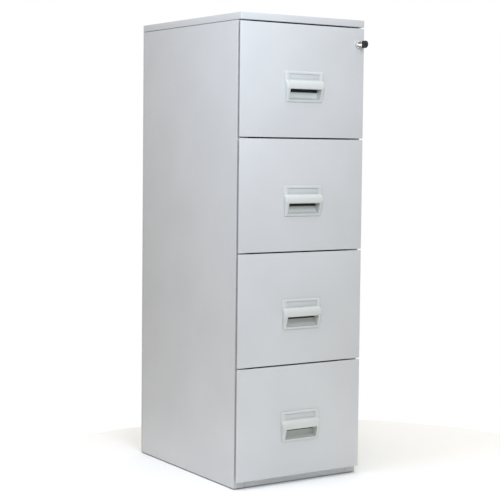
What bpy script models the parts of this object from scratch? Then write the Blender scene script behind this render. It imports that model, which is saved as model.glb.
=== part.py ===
"""Tall four-drawer metal filing cabinet with a central key lock.

Metres. X runs across the cabinet, Y from the drawer fronts to the back panel, Z up.
The origin is on the floor, at the centre of the box that holds the whole object,
the key that stands out of the top drawer included.
"""

from math import cos, pi, radians, sin

import bmesh
import bpy
from mathutils import Matrix, Vector

# Overall size, without the key.
HEIGHT = 1.320
WIDTH = 0.420
DEPTH = 0.560
KEY_REACH = 0.046

# Sheet metal.
SHEET = 0.001
GAP = 0.0003
FOOT_CLEARANCE = 0.003
CAP_HEIGHT = 0.020
CAP_RETURN = 0.012
FRONT_PROUD = 0.016
COLUMN_HALF_GAP = 0.173
COLUMN_LIP = 0.015
BACK_FLANGE = 0.007
SEAM = 0.0005
REAR_RETURN_HALF_GAP = 0.190
PLINTH_TOP = 0.040
BASE_TOP = 0.020
REAR_POST_DEPTH = 0.065
REAR_POST_FLANGE = 0.032
REAR_POST_LIP = 0.012

# Drawers, counted from the top. The fronts fill the height below the cap.
DRAWER_COUNT = 4
DRAWER_GAP = 0.004
LOWEST_FRONT_EDGE = 0.022
FRONT_HEM = 0.005
FRONT_BOX_HALF_WIDTH = 0.168
FRONT_BOX_INSET = 0.012
TRAY_HALF_WIDTH = 0.160
TRAY_LENGTH = 0.500
TRAY_FLOOR = 0.030
TRAY_FLANGE = 0.275
TRAY_RAIL_TOP = 0.285
RAIL_HALF_GAP = 0.165

# Telescopic slides, three members each. Heights are half heights about the slide's middle.
SLIDE_HEIGHT_IN_DRAWER = 0.085
SLIDE_LENGTH = 0.500
SLIDE_SETBACK = 0.002
SLIDE_SHEET = 0.0012
OUTER_LIP = 0.0067
OUTER_HALF_HEIGHT = 0.0228
MIDDLE_SETBACK = 0.022
MIDDLE_LENGTH = 0.460
MIDDLE_WEB_X = 0.1700
MIDDLE_DEPTH = 0.0065
MIDDLE_HALF_HEIGHT = 0.0212
MIDDLE_FLANGE = 0.0056
INNER_DEPTH = 0.0069
INNER_HALF_HEIGHT = 0.0152

# Handle moulding, about its own centre on the outside of a drawer front.
HANDLE_DROP = 0.016
HANDLE_WIDTH = 0.133
HANDLE_HEIGHT = 0.085
HANDLE_TAPER = 0.0050
HANDLE_RIM = 0.0045
HANDLE_BULGE = 0.0150
HANDLE_CORNER = 0.0020
GRIP_TOP = 0.01705
GRIP_MIDDLE = -0.0020
GRIP_BOTTOM = -0.0065
GRIP_ROUND = 0.0030
GRIP_WALL = 0.0030
GRIP_HOLLOW_TOP = 0.0020
GRIP_HOLLOW_SLOPE = (-0.0060, 0.0095)
CUP_HALF_WIDTH = 0.058
CUP_LOW = -0.0385
CUP_HIGH = 0.0140
CUP_DEPTH = 0.0125
CUP_WALL = 0.0018
CUP_FLOOR = ((0.0107, -0.0300), (0.0020, -0.0340), (-0.0045, -0.0360))
MOULD_CLEAR = -0.030
FINGER_HALF_WIDTH = 0.053
LABEL_WIDTH = 0.103
LABEL_HEIGHT = 0.0155
LABEL_CENTRE = 0.0278
LABEL_RECESS = 0.0025
CARD_MARGIN = 0.001
CARD_THICKNESS = 0.0004

# Lock, key and lock bar. Depths are measured from the outside of the drawer fronts.
LOCK_FROM_EDGE = 0.022
LOCK_BELOW_CAP = 0.051
BARREL_RADIUS = 0.0098
BARREL_NECK = 0.0090
BARREL_BORE = 0.0063
BARREL_PROUD = 0.0098
BARREL_EDGE = 0.0008
BARREL_SETBACK = -0.0015
LOCK_HOLE = 0.0095
PLUG_RADIUS = 0.0060
PLUG_PROUD = 0.0105
PLUG_NECK_RADIUS = 0.0040
CAM_RADIUS = 0.0109
CAM_SETBACK = 0.0045
CAM_THICKNESS = 0.002
CAM_PIN_RADIUS = 0.0015
CAM_PIN_THROW = 0.009
CAM_PIN_START = radians(225)
CAM_PIN_LENGTH = 0.007
CAM_WINDOW = 0.0114
KEYWAY_WIDTH = 0.0028
KEYWAY_HEIGHT = 0.0085
KEYWAY_END = 0.001
KEY_BLADE_THICKNESS = 0.0020
KEY_BLADE_HEIGHT = 0.0075
KEY_BLADE_END = -0.0005
KEY_TIP = 0.0020
KEY_CUTS = (0.004, 0.009, 0.014)
KEY_CUT_SLOPE = 0.001
KEY_CUT_LENGTH = 0.003
KEY_CUT_DEPTH = 0.0018
KEY_SHOULDER = 0.018
KEY_BOW_START = 0.020
KEY_BOW_HEIGHT = 0.021
KEY_BOW_THICKNESS = 0.0048
KEY_BOW_CORNER = 0.0020
KEY_RING_RADIUS = 0.0025
KEY_RING_INSET = 0.0070
BAR_LOW = 0.060
BAR_HIGH = 1.283
BAR_X = (0.178, 0.198)
BAR_SETBACK = 0.008
BAR_THICKNESS = 0.002
BAR_TAB_REACH = 0.165
BAR_TAB_Y = (0.030, 0.036)
BAR_TAB_HEIGHT = 0.190
BAR_TAB_THICKNESS = 0.0035
BAR_TAB_INSETS = (0.004, 0.002)
NOTCH_CLEARANCE = 0.0006
GUIDE_HEIGHTS = (0.320, 1.020)
GUIDE_SIZE = 0.012
GUIDE_CLEARANCE = 0.0008
CATCH_Y = (0.040, 0.046)
CATCH_Z = (0.200, 0.210)
CATCH_REACH = 0.1712

# Levelling feet.
FOOT_RADIUS = 0.015
FOOT_THICKNESS = 0.006
STEM_RADIUS = 0.004
STEM_TOP = 0.030
STEM_HOLE = 0.0046
FOOT_X = 0.185
FOOT_INSET = 0.045

ROUND_SIDES = 32
SMALL_SIDES = 16
OVERLAP = 0.0005

HALF_WIDTH = WIDTH / 2
Y_FRONT = (KEY_REACH - DEPTH) / 2
Y_BACK = Y_FRONT + DEPTH
Y_FACE = Y_FRONT + FRONT_PROUD
CAP_BOTTOM = HEIGHT - CAP_HEIGHT
CARCASS_TOP = CAP_BOTTOM - GAP
Y_SEAM = Y_BACK - BACK_FLANGE - SEAM
DRAWER_PITCH = (CAP_BOTTOM - LOWEST_FRONT_EDGE) / DRAWER_COUNT
FRONT_HEIGHT = DRAWER_PITCH - DRAWER_GAP
LOCK_X = HALF_WIDTH - LOCK_FROM_EDGE
LOCK_Z = CAP_BOTTOM - LOCK_BELOW_CAP
SIDES = (("left", -1), ("right", 1))


# ---------------------------------------------------------------- mesh helpers

def finished(bm, name="shape"):
    """Turn a bmesh into a mesh with its faces pointing out."""
    bmesh.ops.recalc_face_normals(bm, faces=bm.faces)
    mesh = bpy.data.meshes.new(name)
    bm.to_mesh(mesh)
    bm.free()
    return mesh


def box(low, high):
    """Axis-aligned box between two corners."""
    bm = bmesh.new()
    bmesh.ops.create_cube(bm, size=1.0)
    low, high = Vector(low), Vector(high)
    bmesh.ops.scale(bm, vec=high - low, verts=bm.verts)
    bmesh.ops.translate(bm, vec=(low + high) / 2, verts=bm.verts)
    return finished(bm)


def extruded(outline, axis, start, end):
    """Closed outline swept along an axis. Outline points are in the other two axes, in X, Y, Z order."""
    place = {
        "X": lambda u, v, w: (w, u, v),
        "Y": lambda u, v, w: (u, w, v),
        "Z": lambda u, v, w: (u, v, w),
    }[axis]
    bm = bmesh.new()
    near = [bm.verts.new(place(u, v, start)) for u, v in outline]
    far = [bm.verts.new(place(u, v, end)) for u, v in outline]
    bm.faces.new(near)
    bm.faces.new(far)
    for index in range(len(outline)):
        bm.faces.new((near[index - 1], near[index], far[index], far[index - 1]))
    return finished(bm)


def folded(path, thickness=SHEET):
    """Outline of a sheet folded along a path, with the metal on the path's left."""
    points = [Vector(point) for point in path]
    normals = []
    for start, end in zip(points, points[1:]):
        run = (end - start).normalized()
        normals.append(Vector((-run.y, run.x)))
    inner = []
    for index, point in enumerate(points):
        before = normals[max(index - 1, 0)]
        after = normals[min(index, len(normals) - 1)]
        middle = (before + after).normalized()
        inner.append(point + middle * (thickness / middle.dot(before)))
    return points + inner[::-1]


def flipped(outline, side):
    """Mirror an outline's first coordinate for the left-hand side."""
    return [(side * point[0], point[1]) for point in outline]


def turned(profile, x, z, sides=ROUND_SIDES):
    """Profile of (radius, y) points turned about the line along Y through x, z."""
    bm = bmesh.new()
    ring = [bm.verts.new((x + radius, y, z)) for radius, y in profile]
    edges = [bm.edges.new(pair) for pair in zip(ring, ring[1:])]
    if min(profile[0][0], profile[-1][0]) > 0:
        edges.append(bm.edges.new((ring[-1], ring[0])))
    bmesh.ops.spin(
        bm, geom=ring + edges, cent=(x, 0, z), axis=(0, 1, 0),
        angle=2 * pi, steps=sides, use_merge=True,
    )
    bmesh.ops.remove_doubles(bm, verts=bm.verts, dist=1e-6)
    return finished(bm)


def rod(radius, x, z, start, end, sides=ROUND_SIDES):
    """Solid cylinder along Y."""
    return turned([(0, start), (radius, start), (radius, end), (0, end)], x, z, sides)


def upright(mesh, x, y):
    """Stand a mesh turned about the Y axis at the origin up along Z, at x, y."""
    mesh.transform(Matrix.Translation((x, y, 0)) @ Matrix.Rotation(pi / 2, 4, "X"))
    return mesh


def combined(operation, base, tools):
    """Boolean of one mesh with several others."""
    worker = bpy.data.objects.new("worker", base)
    bpy.context.collection.objects.link(worker)
    helpers = []
    for tool in tools:
        helper = bpy.data.objects.new("helper", tool)
        bpy.context.collection.objects.link(helper)
        modifier = worker.modifiers.new("boolean", "BOOLEAN")
        modifier.operation = operation
        modifier.object = helper
        helpers.append(helper)
    depsgraph = bpy.context.evaluated_depsgraph_get()
    result = bpy.data.meshes.new_from_object(worker.evaluated_get(depsgraph))
    for item in [worker] + helpers:
        bpy.data.objects.remove(item)
    return result


def fused(base, *tools):
    return combined("UNION", base, tools)


def cut(base, *tools):
    return combined("DIFFERENCE", base, tools)


# ---------------------------------------------------------------- scene helpers

def make_material(name, color, roughness, metallic=0.0):
    material = bpy.data.materials.new(name)
    material.use_nodes = True
    shader = material.node_tree.nodes["Principled BSDF"]
    shader.inputs["Base Color"].default_value = (*color, 1.0)
    shader.inputs["Roughness"].default_value = roughness
    shader.inputs["Metallic"].default_value = metallic
    return material


def world_place(item):
    """World position of an empty in a chain of parents that only move."""
    place = Vector((0, 0, 0))
    while item is not None:
        place += item.location
        item = item.parent
    return place


def add_pivot(name, place, parent=None):
    """Empty that stands for a body, placed on its joint's axis."""
    pivot = bpy.data.objects.new(name, None)
    pivot.empty_display_size = 0.03
    bpy.context.collection.objects.link(pivot)
    pivot.parent = parent
    pivot.location = Vector(place) - world_place(parent)
    return pivot


def add_part(name, mesh, material, pivot, smooth=False):
    """Named part on its body's empty. The mesh comes in cabinet coordinates."""
    mesh.name = name
    mesh.transform(Matrix.Translation(-world_place(pivot)))
    mesh.materials.clear()
    mesh.materials.append(material)
    if smooth:
        mesh.shade_smooth()
        mesh.set_sharp_from_angle(angle=radians(35))
    part = bpy.data.objects.new(name, mesh)
    bpy.context.collection.objects.link(part)
    part.parent = pivot
    return part


# ---------------------------------------------------------------- carcass

def side_panel(side):
    """One sheet: column lip, column face, side skin, joggle under the back panel, rear return."""
    path = [
        (COLUMN_HALF_GAP, Y_FACE + COLUMN_LIP),
        (COLUMN_HALF_GAP, Y_FACE),
        (HALF_WIDTH, Y_FACE),
        (HALF_WIDTH, Y_SEAM),
        (HALF_WIDTH - SHEET - GAP, Y_SEAM),
        (HALF_WIDTH - SHEET - GAP, Y_BACK - SHEET - GAP),
        (REAR_RETURN_HALF_GAP, Y_BACK - SHEET - GAP),
    ]
    return extruded(flipped(folded(path), side), "Z", FOOT_CLEARANCE, CARCASS_TOP)


def side_panel_with_lock_window():
    """Right side panel, whose column face lets the lock's cam through."""
    window = box(
        (LOCK_X - CAM_WINDOW, Y_FACE - SHEET, LOCK_Z - CAM_WINDOW),
        (LOCK_X + CAM_WINDOW, Y_FACE + 2 * SHEET, LOCK_Z + CAM_WINDOW),
    )
    return cut(side_panel(1), window)


def back_panel():
    path = [
        (HALF_WIDTH, Y_BACK - BACK_FLANGE),
        (HALF_WIDTH, Y_BACK),
        (-HALF_WIDTH, Y_BACK),
        (-HALF_WIDTH, Y_BACK - BACK_FLANGE),
    ]
    return extruded(folded(path), "Z", FOOT_CLEARANCE, CARCASS_TOP)


def top_cap():
    """Shallow tray turned upside down, with its lower edges returned inwards."""
    shell = box((-HALF_WIDTH, Y_FRONT, CAP_BOTTOM), (HALF_WIDTH, Y_BACK, HEIGHT))
    inset = HALF_WIDTH - SHEET
    hollow = box(
        (-inset, Y_FRONT + SHEET, CAP_BOTTOM + SHEET),
        (inset, Y_BACK - SHEET, HEIGHT - SHEET),
    )
    inset = HALF_WIDTH - CAP_RETURN
    opening = box(
        (-inset, Y_FRONT + CAP_RETURN, CAP_BOTTOM - SHEET),
        (inset, Y_BACK - CAP_RETURN, CAP_BOTTOM + 2 * SHEET),
    )
    return cut(shell, fused(hollow, opening))


def foot_places():
    for side in (-1, 1):
        for y in (Y_FACE + FOOT_INSET, Y_BACK - FOOT_INSET):
            yield side * FOOT_X, y


def base_pan():
    """Upside-down tray between the sides, drilled for the levelling feet."""
    half = HALF_WIDTH - SHEET - GAP
    y_low = Y_FACE + COLUMN_LIP + SEAM
    y_high = Y_SEAM - SHEET - SEAM
    shell = box((-half, y_low, FOOT_CLEARANCE), (half, y_high, BASE_TOP))
    hollow = box(
        (-half + SHEET, y_low + SHEET, FOOT_CLEARANCE - SHEET),
        (half - SHEET, y_high - SHEET, BASE_TOP - SHEET),
    )
    holes = [
        upright(rod(STEM_HOLE, 0, 0, BASE_TOP / 2, STEM_TOP, SMALL_SIDES), x, y)
        for x, y in foot_places()
    ]
    return cut(shell, hollow, *holes)


def plinth_rail():
    path = [
        (Y_FACE + COLUMN_LIP, PLINTH_TOP),
        (Y_FACE, PLINTH_TOP),
        (Y_FACE, FOOT_CLEARANCE),
        (Y_FACE + COLUMN_LIP, FOOT_CLEARANCE),
    ]
    half = COLUMN_HALF_GAP - GAP
    return extruded(folded(path), "X", -half, half)


def rear_post(side):
    """Channel that carries the back ends of the slides on one side."""
    rear = Y_BACK - 2 * SHEET - 2 * GAP
    front = Y_BACK - REAR_POST_DEPTH
    path = [
        (COLUMN_HALF_GAP + REAR_POST_FLANGE, rear),
        (COLUMN_HALF_GAP, rear),
        (COLUMN_HALF_GAP, front),
        (COLUMN_HALF_GAP + REAR_POST_LIP, front),
    ]
    return extruded(flipped(folded(path), side), "Z", BASE_TOP + GAP, CARCASS_TOP)


def levelling_foot(x, y):
    """Round pad with a threaded stem up through the base pan."""
    edge = FOOT_THICKNESS / 4
    profile = [
        (0, 0),
        (FOOT_RADIUS - edge, 0),
        (FOOT_RADIUS, edge),
        (FOOT_RADIUS, FOOT_THICKNESS - edge),
        (FOOT_RADIUS - edge, FOOT_THICKNESS),
        (STEM_RADIUS, FOOT_THICKNESS),
        (STEM_RADIUS, STEM_TOP),
        (0, STEM_TOP),
    ]
    return upright(turned(profile, 0, 0, SMALL_SIDES), x, y)


# ---------------------------------------------------------------- slides

def outer_member(side, z):
    """Channel fixed to the column lip and the rear post, open towards the drawer."""
    web = COLUMN_HALF_GAP - GAP
    path = [
        (web - OUTER_LIP, z - OUTER_HALF_HEIGHT),
        (web, z - OUTER_HALF_HEIGHT),
        (web, z + OUTER_HALF_HEIGHT),
        (web - OUTER_LIP, z + OUTER_HALF_HEIGHT),
    ]
    start = Y_FACE + SLIDE_SETBACK
    return extruded(flipped(folded(path, SLIDE_SHEET), side), "Y", start, start + SLIDE_LENGTH)


def middle_member(side, z):
    """Channel with its rows of bearings as thick flanges, running inside the outer member."""
    back = MIDDLE_WEB_X
    front = MIDDLE_WEB_X - MIDDLE_DEPTH
    web = MIDDLE_WEB_X - SLIDE_SHEET
    tall = MIDDLE_HALF_HEIGHT
    short = MIDDLE_HALF_HEIGHT - MIDDLE_FLANGE
    outline = [
        (back, z - tall), (back, z + tall), (front, z + tall), (front, z + short),
        (web, z + short), (web, z - short), (front, z - short), (front, z - tall),
    ]
    start = Y_FACE + MIDDLE_SETBACK
    return extruded(flipped(outline, side), "Y", start, start + MIDDLE_LENGTH)


def inner_member(side, z):
    """Channel fixed to the drawer tray, running inside the middle member."""
    web = TRAY_HALF_WIDTH + GAP
    path = [
        (web + INNER_DEPTH, z + INNER_HALF_HEIGHT),
        (web, z + INNER_HALF_HEIGHT),
        (web, z - INNER_HALF_HEIGHT),
        (web + INNER_DEPTH, z - INNER_HALF_HEIGHT),
    ]
    start = Y_FACE + SLIDE_SETBACK
    return extruded(flipped(folded(path, SLIDE_SHEET), side), "Y", start, start + SLIDE_LENGTH)


# ---------------------------------------------------------------- drawers

def front_bottom(number):
    """Height of a drawer front's lower edge. Drawer 1 is the top one."""
    return LOWEST_FRONT_EDGE + (DRAWER_COUNT - number) * DRAWER_PITCH


def handle_height(number):
    return front_bottom(number) + FRONT_HEIGHT / 2 - HANDLE_DROP


def drawer_front(number):
    """Hemmed outer skin with a stiffening box behind it, cut out for the handle's cup."""
    low = front_bottom(number)
    high = low + FRONT_HEIGHT
    skin = box((-HALF_WIDTH, Y_FRONT, low), (HALF_WIDTH, Y_FRONT + FRONT_HEM, high))
    inset = HALF_WIDTH - SHEET
    hollow = box(
        (-inset, Y_FRONT + SHEET, low + SHEET),
        (inset, Y_FRONT + 2 * FRONT_HEM, high - SHEET),
    )
    half = FRONT_BOX_HALF_WIDTH
    stiffener = box(
        (-half, Y_FRONT + SHEET / 2, low + FRONT_BOX_INSET),
        (half, Y_FACE - SHEET, high - FRONT_BOX_INSET),
    )
    half -= SHEET
    inside = box(
        (-half, Y_FRONT + SHEET, low + FRONT_BOX_INSET + SHEET),
        (half, Y_FACE, high - FRONT_BOX_INSET - SHEET),
    )
    middle = handle_height(number)
    half = CUP_HALF_WIDTH + SEAM
    cup_hole = box(
        (-half, Y_FRONT - SHEET, middle + CUP_LOW - SEAM),
        (half, Y_FRONT + 2 * SHEET, middle + CUP_HIGH + SEAM),
    )
    front = cut(fused(cut(skin, hollow), stiffener), inside, cup_hole)
    if number == 1:
        hole = rod(LOCK_HOLE, LOCK_X, LOCK_Z, Y_FRONT - SHEET, Y_FRONT + 2 * SHEET)
        front = cut(front, hole)
    return front


def drawer_tray(number):
    """Folded tray whose outturned top edges are the hanging rails, with a catch for the lock bar."""
    base = front_bottom(number)
    floor = base + TRAY_FLOOR
    flange = base + TRAY_FLANGE
    rail = base + TRAY_RAIL_TOP
    wall = TRAY_HALF_WIDTH - SHEET
    path = [(RAIL_HALF_GAP, rail), (RAIL_HALF_GAP, flange), (wall, flange), (wall, floor)]
    path += [(-x, z) for x, z in reversed(path)]
    start = Y_FACE - SHEET + GAP
    end = start + TRAY_LENGTH
    shell = extruded(folded(path), "Y", start, end)
    half = TRAY_HALF_WIDTH - SHEET / 2
    ends = [
        box((-half, y, floor - SHEET / 2), (half, y + SHEET, flange - SHEET / 2))
        for y in (start + OVERLAP, end - SHEET - OVERLAP)
    ]
    catch = box(
        (half, Y_FACE + CATCH_Y[0], base + CATCH_Z[0]),
        (CATCH_REACH, Y_FACE + CATCH_Y[1], base + CATCH_Z[1]),
    )
    return fused(shell, *ends, catch)


def arc(centre, radius_y, radius_z, start, end, steps):
    """Points of an elliptical arc in the Y-Z plane, angles in degrees from +Y towards +Z."""
    points = []
    for step in range(steps + 1):
        angle = radians(start + (end - start) * step / steps)
        points.append((centre[0] + radius_y * cos(angle), centre[1] + radius_z * sin(angle)))
    return points


def tapered(mesh):
    """Draw the ends of the handle's moulding in towards its bottom."""
    for vertex in mesh.vertices:
        side = 1 if vertex.co.x > 0 else -1
        vertex.co.x -= side * HANDLE_TAPER * (0.5 - vertex.co.z / HANDLE_HEIGHT)
    return mesh


def handle():
    """Moulded handle about its own centre: rim, label recess, rounded grip, finger cup behind."""
    half_height = HANDLE_HEIGHT / 2
    corner = HANDLE_CORNER
    bulge = HANDLE_BULGE - HANDLE_RIM
    rounding = GRIP_ROUND
    outline = [(-GAP, half_height)]
    outline += arc((-HANDLE_RIM + corner, half_height - corner), corner, corner, 90, 180, 3)
    outline += arc((-HANDLE_RIM, GRIP_MIDDLE), bulge, GRIP_TOP - GRIP_MIDDLE, 90, 180, 7)
    outline += arc((-HANDLE_BULGE + rounding, GRIP_BOTTOM + rounding), rounding, rounding, 180, 225, 2)
    outline += arc((-HANDLE_RIM + corner, -half_height + corner), corner, corner, 180, 270, 3)
    outline += [(-GAP, -half_height)]
    moulding = tapered(extruded(outline, "X", -HANDLE_WIDTH / 2, HANDLE_WIDTH / 2))
    cup = box((-CUP_HALF_WIDTH, -2 * SHEET, CUP_LOW), (CUP_HALF_WIDTH, CUP_DEPTH, CUP_HIGH))
    hollow_outline = [
        (MOULD_CLEAR, GRIP_BOTTOM),
        (-HANDLE_BULGE + GRIP_WALL, GRIP_BOTTOM),
        (-HANDLE_BULGE + GRIP_WALL, GRIP_HOLLOW_TOP),
        GRIP_HOLLOW_SLOPE,
        (CUP_DEPTH - CUP_WALL, CUP_HIGH - CUP_WALL),
        *CUP_FLOOR,
        (MOULD_CLEAR, CUP_FLOOR[-1][1]),
    ]
    hollow = extruded(hollow_outline, "X", -FINGER_HALF_WIDTH, FINGER_HALF_WIDTH)
    recess = box(
        (-LABEL_WIDTH / 2, MOULD_CLEAR, LABEL_CENTRE - LABEL_HEIGHT / 2),
        (LABEL_WIDTH / 2, -HANDLE_RIM + LABEL_RECESS, LABEL_CENTRE + LABEL_HEIGHT / 2),
    )
    return cut(fused(moulding, cup), hollow, recess)


def label_card():
    """Blank card that lies in the handle's recess."""
    half_width = LABEL_WIDTH / 2 - CARD_MARGIN
    half_height = LABEL_HEIGHT / 2 - CARD_MARGIN
    back = -HANDLE_RIM + LABEL_RECESS - GAP
    return box(
        (-half_width, back - CARD_THICKNESS, LABEL_CENTRE - half_height),
        (half_width, back, LABEL_CENTRE + half_height),
    )


def on_front(mesh, number):
    """Move a mesh made about the handle's centre to its place on a drawer front."""
    mesh.transform(Matrix.Translation((0, Y_FRONT, handle_height(number))))
    return mesh


# ---------------------------------------------------------------- lock

def lock_barrel():
    """Tube fixed in the top drawer's front, with a collar that stands on the outside."""
    front = Y_FRONT - BARREL_PROUD
    rear = Y_FACE + BARREL_SETBACK
    profile = [
        (BARREL_BORE, front),
        (BARREL_RADIUS - BARREL_EDGE, front),
        (BARREL_RADIUS, front + BARREL_EDGE),
        (BARREL_RADIUS, Y_FRONT - GAP),
        (BARREL_NECK, Y_FRONT - GAP),
        (BARREL_NECK, rear),
        (BARREL_BORE, rear),
    ]
    return turned(profile, LOCK_X, LOCK_Z)


def cam_pin_place():
    """Centre of the cam's pin with the lock open."""
    return (
        LOCK_X + CAM_PIN_THROW * cos(CAM_PIN_START),
        LOCK_Z + CAM_PIN_THROW * sin(CAM_PIN_START),
    )


def lock_plug():
    """Turning plug with its cam disc behind the column face and an off-centre pin."""
    shoulder = Y_FACE - SHEET
    cam_front = Y_FACE + CAM_SETBACK
    cam_rear = cam_front + CAM_THICKNESS
    profile = [
        (0, Y_FRONT - PLUG_PROUD),
        (PLUG_RADIUS, Y_FRONT - PLUG_PROUD),
        (PLUG_RADIUS, shoulder),
        (PLUG_NECK_RADIUS, shoulder),
        (PLUG_NECK_RADIUS, cam_front),
        (CAM_RADIUS, cam_front),
        (CAM_RADIUS, cam_rear),
        (0, cam_rear),
    ]
    pin_x, pin_z = cam_pin_place()
    pin_end = cam_rear + CAM_PIN_LENGTH
    pin = rod(CAM_PIN_RADIUS, pin_x, pin_z, cam_rear - OVERLAP, pin_end, SMALL_SIDES)
    keyway = box(
        (LOCK_X - KEYWAY_WIDTH / 2, Y_FRONT - KEY_REACH, LOCK_Z - KEYWAY_HEIGHT / 2),
        (LOCK_X + KEYWAY_WIDTH / 2, Y_FRONT + KEYWAY_END, LOCK_Z + KEYWAY_HEIGHT / 2),
    )
    return cut(fused(turned(profile, LOCK_X, LOCK_Z), pin), keyway)


def key_blade():
    """Flat blade with three cuts along its upper edge."""
    low = LOCK_Z - KEY_BLADE_HEIGHT / 2
    high = LOCK_Z + KEY_BLADE_HEIGHT / 2
    start = Y_FRONT - KEY_BOW_START + GAP
    end = Y_FRONT + KEY_BLADE_END
    outline = [
        (start, low),
        (end - KEY_TIP, low),
        (end, low + KEY_TIP),
        (end, high - KEY_TIP),
        (end - KEY_TIP, high),
    ]
    for reach in KEY_CUTS:
        cut_end = end - reach
        outline.append((cut_end, high))
        outline.append((cut_end - KEY_CUT_SLOPE, high - KEY_CUT_DEPTH))
        outline.append((cut_end - KEY_CUT_LENGTH, high - KEY_CUT_DEPTH))
    outline += [(end - KEY_SHOULDER, high), (start, high)]
    half = KEY_BLADE_THICKNESS / 2
    return extruded(outline, "X", LOCK_X - half, LOCK_X + half)


def key_bow():
    """D-shaped plastic head with a ring hole."""
    near = Y_FRONT - KEY_BOW_START
    far = Y_FRONT - KEY_REACH
    half = KEY_BOW_HEIGHT / 2
    corner = KEY_BOW_CORNER
    outline = [
        (near, LOCK_Z - half + corner),
        (near, LOCK_Z + half - corner),
        (near - corner, LOCK_Z + half),
    ]
    outline += arc((far + half, LOCK_Z), half, half, 90, 270, 16)[:-1]
    outline += [(far + half, LOCK_Z - half), (near - corner, LOCK_Z - half)]
    thickness = KEY_BOW_THICKNESS / 2
    bow = extruded(outline, "X", LOCK_X - thickness, LOCK_X + thickness)
    hole = rod(KEY_RING_RADIUS, 0, 0, -KEY_BOW_THICKNESS, KEY_BOW_THICKNESS, SMALL_SIDES)
    turn = Matrix.Rotation(pi / 2, 4, "Z")
    hole.transform(Matrix.Translation((LOCK_X, far + KEY_RING_INSET, LOCK_Z)) @ turn)
    return cut(bow, hole)


def lock_bar():
    """Flat bar in the right column, with a tab for each drawer and a notch for the cam's pin."""
    front = Y_FACE + BAR_SETBACK
    bar = box((BAR_X[0], front, BAR_LOW), (BAR_X[1], front + BAR_THICKNESS, BAR_HIGH))
    outline = [
        (BAR_X[1] - BAR_TAB_INSETS[1], front + BAR_THICKNESS / 2),
        (BAR_X[1] - BAR_TAB_INSETS[1], Y_FACE + BAR_TAB_Y[1]),
        (BAR_TAB_REACH, Y_FACE + BAR_TAB_Y[1]),
        (BAR_TAB_REACH, Y_FACE + BAR_TAB_Y[0]),
        (BAR_X[0] + BAR_TAB_INSETS[0], Y_FACE + BAR_TAB_Y[0]),
        (BAR_X[0] + BAR_TAB_INSETS[0], front + BAR_THICKNESS / 2),
    ]
    tabs = []
    for number in range(1, DRAWER_COUNT + 1):
        low = front_bottom(number) + BAR_TAB_HEIGHT
        tabs.append(extruded(outline, "Z", low, low + BAR_TAB_THICKNESS))
    pin_x, pin_z = cam_pin_place()
    reach = CAM_PIN_RADIUS + NOTCH_CLEARANCE
    notch = box(
        (BAR_X[0] - SHEET, front - SHEET, pin_z - reach),
        (pin_x + reach, front + BAR_THICKNESS + SHEET, pin_z + reach),
    )
    return cut(fused(bar, *tabs), notch)


def bar_guide(height):
    """Strap that holds the lock bar against the column."""
    left = BAR_X[0] - GUIDE_CLEARANCE - SHEET
    right = BAR_X[1] + GUIDE_CLEARANCE + SHEET
    near = Y_FACE + SHEET + GAP
    far = Y_FACE + BAR_SETBACK + BAR_THICKNESS + GUIDE_CLEARANCE + SHEET
    path = [(right, near), (right, far), (left, far), (left, near)]
    return extruded(folded(path), "Z", height, height + GUIDE_SIZE)


# ---------------------------------------------------------------- assembly

def build_carcass(paint, zinc, plastic):
    carcass = add_pivot("carcass", (0, 0, 0))
    add_part("side_panel_left", side_panel(-1), paint, carcass)
    add_part("side_panel_right", side_panel_with_lock_window(), paint, carcass)
    add_part("back_panel", back_panel(), paint, carcass)
    add_part("top_cap", top_cap(), paint, carcass)
    add_part("base_pan", base_pan(), paint, carcass)
    add_part("plinth_rail", plinth_rail(), paint, carcass)
    for name, side in SIDES:
        add_part(f"rear_post_{name}", rear_post(side), zinc, carcass)
    for number, (x, y) in enumerate(foot_places(), start=1):
        add_part(f"levelling_foot_{number}", levelling_foot(x, y), plastic, carcass, smooth=True)
    for name, height in zip(("lower", "upper"), GUIDE_HEIGHTS):
        add_part(f"lock_bar_guide_{name}", bar_guide(height), zinc, carcass)
    return carcass


def build_drawer(number, carcass, paint, zinc, ivory, paper):
    height = front_bottom(number)
    slide_height = height + SLIDE_HEIGHT_IN_DRAWER
    middle = add_pivot(f"middle_{number}", (0, Y_FACE, slide_height), carcass)
    drawer = add_pivot(f"drawer_{number}", (0, Y_FRONT, height), carcass)
    for name, side in SIDES:
        add_part(f"slide_{number}_outer_{name}", outer_member(side, slide_height), zinc, carcass)
        add_part(f"slide_{number}_middle_{name}", middle_member(side, slide_height), zinc, middle)
        add_part(f"slide_{number}_inner_{name}", inner_member(side, slide_height), zinc, drawer)
    add_part(f"drawer_{number}_front", drawer_front(number), paint, drawer)
    add_part(f"drawer_{number}_tray", drawer_tray(number), paint, drawer)
    add_part(f"drawer_{number}_handle", on_front(handle(), number), ivory, drawer, smooth=True)
    add_part(f"drawer_{number}_label", on_front(label_card(), number), paper, drawer)
    return drawer


def build_lock(carcass, top_drawer, zinc, chrome, black):
    add_part("lock_barrel", lock_barrel(), chrome, top_drawer, smooth=True)
    plug = add_pivot("plug_pivot", (LOCK_X, Y_FRONT, LOCK_Z), top_drawer)
    add_part("lock_plug", lock_plug(), chrome, plug, smooth=True)
    key = add_pivot("key_pivot", (LOCK_X, Y_FRONT, LOCK_Z), plug)
    add_part("key_blade", key_blade(), chrome, key)
    add_part("key_bow", key_bow(), black, key, smooth=True)
    bar = add_pivot("bar_pivot", (BAR_X[0], Y_FACE + BAR_SETBACK, BAR_LOW), carcass)
    add_part("lock_bar", lock_bar(), zinc, bar)


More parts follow.
